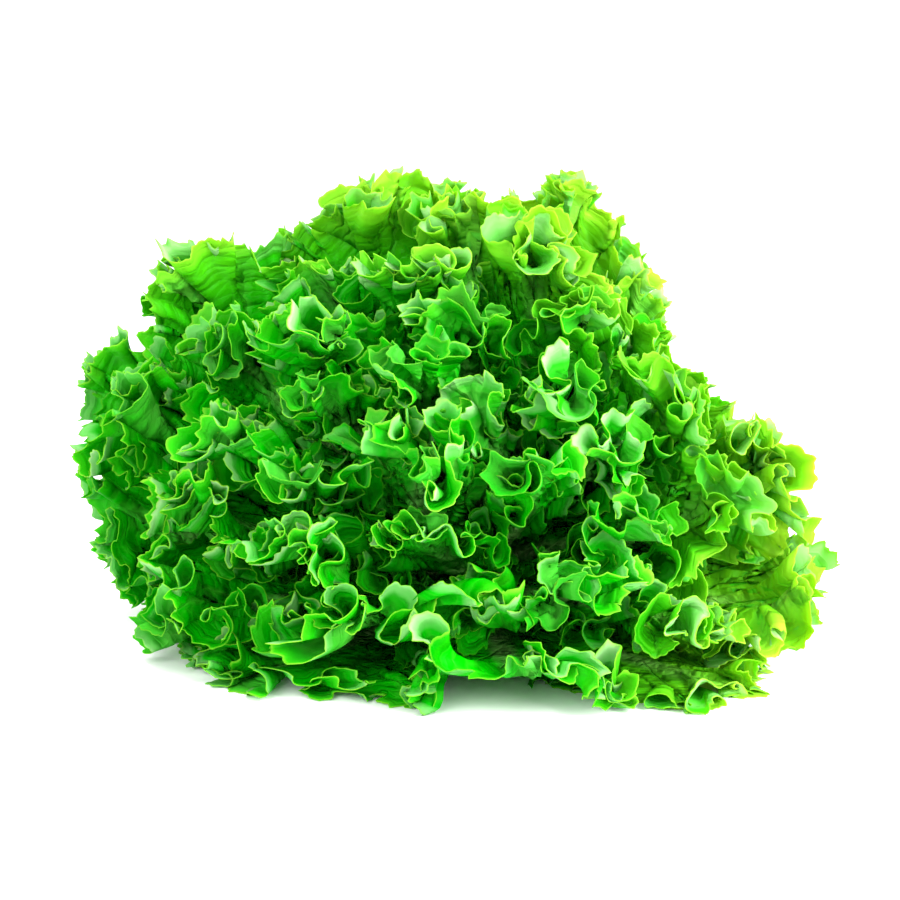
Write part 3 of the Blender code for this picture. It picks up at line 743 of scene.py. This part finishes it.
def edgeColour(tree, read, look, blade):  # a fine yellow line along the margin, of uneven width and strength
    narrow, wide = freshLeaf["edgeWidth"]
    low, high = freshLeaf["cloudRange"]
    uneven = addNode(
        tree, "ShaderNodeTexNoise", {"Scale": uvUnit / freshLeaf["edgePatch"], "Detail": 1.0},
        {"Vector": read["place"]},
    ).outputs[0]
    edgeWidth = addNode(
        tree, "ShaderNodeMapRange", {"From Min": 0.35, "From Max": 0.70, "To Min": narrow, "To Max": wide},
        {"Value": uneven},
    ).outputs[0]
    edgeShare = addNode(
        tree, "ShaderNodeMapRange", {"From Min": low, "From Max": high, "To Min": 0.20, "To Max": 0.85},
        {"Value": read["clouds"]},
    ).outputs[0]
    edgeShare = addNode(
        tree, "ShaderNodeMath", {"operation": "MULTIPLY"}, {0: edgeShare, 1: read["towardsTip"]},
    ).outputs[0]
    atEdge = addNode(
        tree, "ShaderNodeMapRange", {"To Max": 0.0},
        {"Value": read["fromMargin"], "From Max": edgeWidth, "To Min": edgeShare},
    ).outputs[0]
    return addNode(
        tree, "ShaderNodeMix", {"data_type": "RGBA", 7: hexColour(look["edge"])}, {0: atEdge, 6: blade},
    ).outputs[2]


def bladeRelief(tree, read, sideVeins, under):  # blisters, small cells on them, and veins sunk in from above
    cells = addNode(
        tree, "ShaderNodeMapRange",
        {"From Max": freshLeaf["cellEdge"], "To Max": freshLeaf["cellHeight"]}, {"Value": read["net"]},
    ).outputs[0]
    blister = addNode(
        tree, "ShaderNodeTexNoise", {"Scale": uvUnit / freshLeaf["blister"], "Detail": 1.0},
        {"Vector": read["place"]},
    ).outputs[0]
    height = addNode(
        tree, "ShaderNodeMath", {"operation": "MULTIPLY_ADD", 1: freshLeaf["blisterHeight"]},
        {0: blister, 2: cells},
    ).outputs[0]
    height = addNode(
        tree, "ShaderNodeMath", {"operation": "MULTIPLY_ADD", 1: freshLeaf["veinHeight"]},
        {0: sideVeins, 2: height},
    ).outputs[0]
    distance = -freshLeaf["relief"] if under else freshLeaf["relief"]
    return addNode(
        tree, "ShaderNodeBump", {"Strength": 1.0, "Distance": distance}, {"Height": height},
    ).outputs[0]


def lightThrough(tree, read, look, blade, bump):  # light from behind, turned yellow-green by the blade, and painted yellower at the head's upper right rim
    through = addNode(
        tree, "ShaderNodeMix",
        {"data_type": "RGBA", 6: hexColour(look["through"]), 7: hexColour(freshLeaf["paintedLitThrough"])},
        {0: read["paintedLight"]},
    ).outputs[2]
    glow = addNode(
        tree, "ShaderNodeMix", {"data_type": "RGBA", 0: freshLeaf["bladeTint"]}, {6: through, 7: blade},
    ).outputs[2]
    return addNode(tree, "ShaderNodeBsdfTranslucent", None, {"Color": glow, "Normal": bump}).outputs[0]


def leafMaterial(kind, under):
    # Fresh lettuce leaf: a thin soft blade with a dull wax, which gives it a satin look, duller underneath.
    # Light that comes through turns it yellow-green. Veins fan out from the rib and end in a net.
    look = freshLeaf[kind]
    material = bpy.data.materials.new(f"{kind} {'underside' if under else 'upper face'}")
    material.use_nodes = True
    tree = material.node_tree
    tree.nodes.clear()
    read = leafReadings(tree)
    sideVeins = veinLines(tree, read, freshLeaf["sideVeins"])
    veined = veinShare(tree, read, sideVeins, under)
    blade = cloudedColour(tree, read, look, under)
    blade = addNode(
        tree, "ShaderNodeMix", {"data_type": "RGBA", 7: hexColour(look["vein"])}, {0: veined, 6: blade},
    ).outputs[2]
    blade = ribbedColour(tree, read, blade)
    blade = marginAndSheenColour(tree, read, look, under, blade)
    blade = edgeColour(tree, read, look, blade)
    bump = bladeRelief(tree, read, sideVeins, under)
    waxed = addNode(
        tree, "ShaderNodeBsdfPrincipled",
        {
            "Roughness": freshLeaf["underRoughness"] if under else freshLeaf["roughness"],
            "IOR": freshLeaf["ior"], "Specular IOR Level": freshLeaf["specular"],
        },
        {"Base Color": blade, "Normal": bump},
    ).outputs[0]
    lit = lightThrough(tree, read, look, blade, bump)
    deep, thin = freshLeaf["seeThrough"]
    passing = addNode(
        tree, "ShaderNodeMapRange", {"From Max": freshLeaf["thinWidth"], "To Min": thin, "To Max": deep},
        {"Value": read["fromMargin"]},
    ).outputs[0]
    shown = addNode(tree, "ShaderNodeMixShader", None, {0: passing, 1: waxed, 2: lit}).outputs[0]
    addNode(tree, "ShaderNodeOutputMaterial", None, {"Surface": shown})
    return material


cutStem = {
    "side": "#86AE58", "fibre": "#A4BE7C", "face": "#B8B488", "brown": "#8E6236",
    "roughness": 0.42, "ior": 1.40,
    "fibreRepeat": (60.0, 3.0, 1.0),  # to a UV unit, round and along the stem
    "fibreRelief": 0.4 * mm,
    "brownFrom": 0.70, "brownShare": 0.75,
}


def stemMaterial():
    # Lettuce stem: pale wet flesh in a green skin with fine fibres along it, browning at the cut
    material = bpy.data.materials.new("cut lettuce stem")
    material.use_nodes = True
    tree = material.node_tree
    tree.nodes.clear()
    place = addNode(tree, "ShaderNodeUVMap", {"uv_map": "round"}).outputs[0]
    stretch = addNode(
        tree, "ShaderNodeMapping", {"Scale": cutStem["fibreRepeat"]}, {"Vector": place},
    ).outputs[0]
    fibre = addNode(
        tree, "ShaderNodeTexNoise", {"Scale": 1.0, "Detail": 4.0}, {"Vector": stretch},
    ).outputs[0]
    side = addNode(
        tree, "ShaderNodeMix",
        {"data_type": "RGBA", 6: hexColour(cutStem["side"]), 7: hexColour(cutStem["fibre"])}, {0: fibre},
    ).outputs[2]
    cut = addNode(tree, "ShaderNodeAttribute", {"attribute_name": "onCut"}).outputs["Fac"]
    middle = addNode(tree, "ShaderNodeAttribute", {"attribute_name": "fromMiddle"}).outputs["Fac"]
    ring = addNode(
        tree, "ShaderNodeMapRange", {"From Min": cutStem["brownFrom"], "To Max": cutStem["brownShare"]},
        {"Value": middle},
    ).outputs[0]
    face = addNode(
        tree, "ShaderNodeMix",
        {"data_type": "RGBA", 6: hexColour(cutStem["face"]), 7: hexColour(cutStem["brown"])}, {0: ring},
    ).outputs[2]
    colour = addNode(tree, "ShaderNodeMix", {"data_type": "RGBA"}, {0: cut, 6: side, 7: face}).outputs[2]
    bump = addNode(
        tree, "ShaderNodeBump", {"Strength": 0.5, "Distance": cutStem["fibreRelief"]}, {"Height": fibre},
    ).outputs[0]
    flesh = addNode(
        tree, "ShaderNodeBsdfPrincipled", {"Roughness": cutStem["roughness"], "IOR": cutStem["ior"]},
        {"Base Color": colour, "Normal": bump},
    ).outputs[0]
    addNode(tree, "ShaderNodeOutputMaterial", None, {"Surface": flesh})
    return material


def stemProfile():  # radius and height of dome, cone, butt, rounded rim and cut end, top to bottom
    s = stemShape
    domeBend = np.linspace(math.pi / 2, 0.0, 10)
    rimBend = np.linspace(0.0, math.pi / 2, 7)
    buttRadius, buttLow = s["radius"] - s["taper"], s["chamfer"] - s["butt"]
    parts = [
        (s["tipRadius"] * np.cos(domeBend), s["length"] + s["dome"] * np.sin(domeBend)),
        (np.linspace(s["tipRadius"], s["radius"], 30), np.linspace(s["length"], 0.0, 30)),
        (np.linspace(s["radius"], buttRadius, 20), np.linspace(0.0, buttLow, 20)),
        (buttRadius - s["chamfer"] * (1.0 - np.cos(rimBend)), buttLow - s["chamfer"] * np.sin(rimBend)),
        (np.linspace(buttRadius - s["chamfer"], 0.0, 10), np.full(10, -s["butt"])),
    ]
    radius = np.concatenate([part[0][:-1] for part in parts] + [parts[-1][0][-1:]])
    height = np.concatenate([part[1][:-1] for part in parts] + [parts[-1][1][-1:]])
    return radius, height


def turnedFaces(rings, columns):  # quads between rings and a fan round each pole, the first and last points
    ids = 1 + np.arange(rings * columns).reshape(rings, columns)
    after = np.roll(ids, -1, axis=1)
    quads = np.stack([ids[:-1], ids[1:], after[1:], after[:-1]], axis=-1).reshape(-1, 4)
    top = np.stack([np.zeros(columns, dtype=int), ids[0], after[0]], axis=-1)
    bottom = np.stack([ids[-1], np.full(columns, rings * columns + 1), after[-1]], axis=-1)
    return quads.tolist() + top.tolist() + bottom.tolist()


def onePole(values):  # a grid's values with its first and last rows as one point each
    return np.concatenate([values[0, :1], values[1:-1].reshape(-1, *values.shape[2:]), values[-1, :1]])


def scarredRadius(turn, up, out):
    # the radius less the scars of old leaves, in leaning rows of cubed sines, and flutes of sines round it
    s = stemShape
    aboveRim = smoothStep(-s["butt"], s["chamfer"] - s["butt"] + s["smoothRim"], up)
    onSide = aboveRim * smoothStep(0.0, s["smoothPole"], out)
    leaning = np.maximum(0.0, np.sin(s["scarsRound"] * turn + up / s["scarLean"])) ** 3
    scars = leaning * np.maximum(0.0, np.sin(up / s["scarPitch"]))
    return out - onSide * (s["scar"] * scars + s["flute"] * (1.0 + np.sin(s["flutes"] * turn)))


def makeStem():  # the profile turned round the stem's axis, and held above the floor
    s = stemShape
    radius, height = stemProfile()
    turn, out = np.meshgrid(np.linspace(0.0, 2.0 * math.pi, s["columns"], endpoint=False), radius)
    up = np.repeat(height[:, None], s["columns"], axis=1)
    out = scarredRadius(turn, up, out)
    right, upward, forward = headAxes()
    sideways = np.cos(turn)[..., None] * right + np.sin(turn)[..., None] * upward
    points = stemBase() + out[..., None] * sideways + up[..., None] * forward
    points[..., 2] = np.maximum(points[..., 2], 0.0)
    mesh = bpy.data.meshes.new("stem_fine")
    mesh.from_pydata(onePole(points).tolist(), [], turnedFaces(len(radius) - 2, s["columns"]))
    cutRadius = s["radius"] - s["taper"] - s["chamfer"]
    onCut = 1.0 - smoothStep(-s["butt"] + s["cutRim"], s["chamfer"] - s["butt"], up)
    markPoints(mesh, "onCut", onePole(onCut))
    markPoints(mesh, "fromMiddle", onePole(out / cutRadius))
    unrollPoints(mesh, "round", onePole(np.stack([np.cos(turn) * 0.2, up / uvUnit], axis=-1)))
    mesh.shade_smooth()
    mesh.materials.append(stemMaterial())
    piece = addObject("stem_fine", mesh)
    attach(piece, "root")
    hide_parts("stem")


studio = {
    "floor": "#FAFAFA", "floorRoughness": 0.35, "floorHalf": 6.0,
    "world": "#FFFFFF", "worldStrength": 1.40,
    "cameraTarget": (5.5 * mm, 0.0, 75 * mm), "cameraDistance": 0.80, "elevation": 12.0,
    "lens": 85.0, "sensor": 36.0,
    "lights": (  # place in metres, side in metres, watts
        ((-0.25, 0.10, 1.05), 0.45, 9.0),
        ((0.80, -0.50, 0.50), 0.80, 38.0),
        ((-0.50, -0.85, 0.60), 0.60, 10.0),
    ),
}


def makeFloor():  # one square in white laminate, smooth and slightly glossy
    half = studio["floorHalf"]
    mesh = bpy.data.meshes.new("floor")
    corners = [(-half, -half, 0.0), (half, -half, 0.0), (half, half, 0.0), (-half, half, 0.0)]
    mesh.from_pydata(corners, [], [(0, 1, 2, 3)])
    material = bpy.data.materials.new("white laminate table")
    material.use_nodes = True
    shader = material.node_tree.nodes["Principled BSDF"]
    shader.inputs["Base Color"].default_value = hexColour(studio["floor"])
    shader.inputs["Roughness"].default_value = studio["floorRoughness"]
    mesh.materials.append(material)
    floor = addObject("floor", mesh)


def makeLights():  # a soft white room, and softboxes that face the head
    world = bpy.data.worlds.new("soft white room")
    world.use_nodes = True
    background = world.node_tree.nodes["Background"]
    background.inputs["Color"].default_value = hexColour(studio["world"])
    background.inputs["Strength"].default_value = studio["worldStrength"]
    bpy.context.scene.world = world
    bpy.context.scene.view_settings.view_transform = "Standard"
    target = Vector(studio["cameraTarget"])
    for number, (place, side, watts) in enumerate(studio["lights"]):
        light = bpy.data.lights.new(f"softbox {number + 1}", "AREA")
        light.size = side
        light.energy = watts
        lamp = addObject(light.name, light)
        lamp.location = place
        lamp.rotation_euler = (target - Vector(place)).to_track_quat("-Z", "Y").to_euler()


def makeCamera():  # looks down at the heart from the front
    target = Vector(studio["cameraTarget"])
    elevation = math.radians(studio["elevation"])
    away = Vector((0.0, -math.cos(elevation), math.sin(elevation)))
    lens = bpy.data.cameras.new("camera")
    lens.lens = studio["lens"]
    lens.sensor_width = studio["sensor"]
    camera = addObject("camera", lens)
    camera.location = target + studio["cameraDistance"] * away
    camera.rotation_euler = (-away).to_track_quat("-Z", "Y").to_euler()
    bpy.context.scene.camera = camera


makeFloor()
makeLights()
makeCamera()
print("studio ready")
makeStem()
print("stem ready")
leafMaterials = {
    kind: [leafMaterial(kind, True), leafMaterial(kind, False)]
    for kind in ("heart_leaf", "inner_leaf", "outer_leaf")
}
triangleCount = 0
for leaf in planLeaves():
    blade = makeLeaf(leaf, leafMaterials[leaf["kind"]])
    triangleCount += len(blade.loops) - 2 * len(blade.polygons)
print("leaves ready, triangles:", triangleCount)
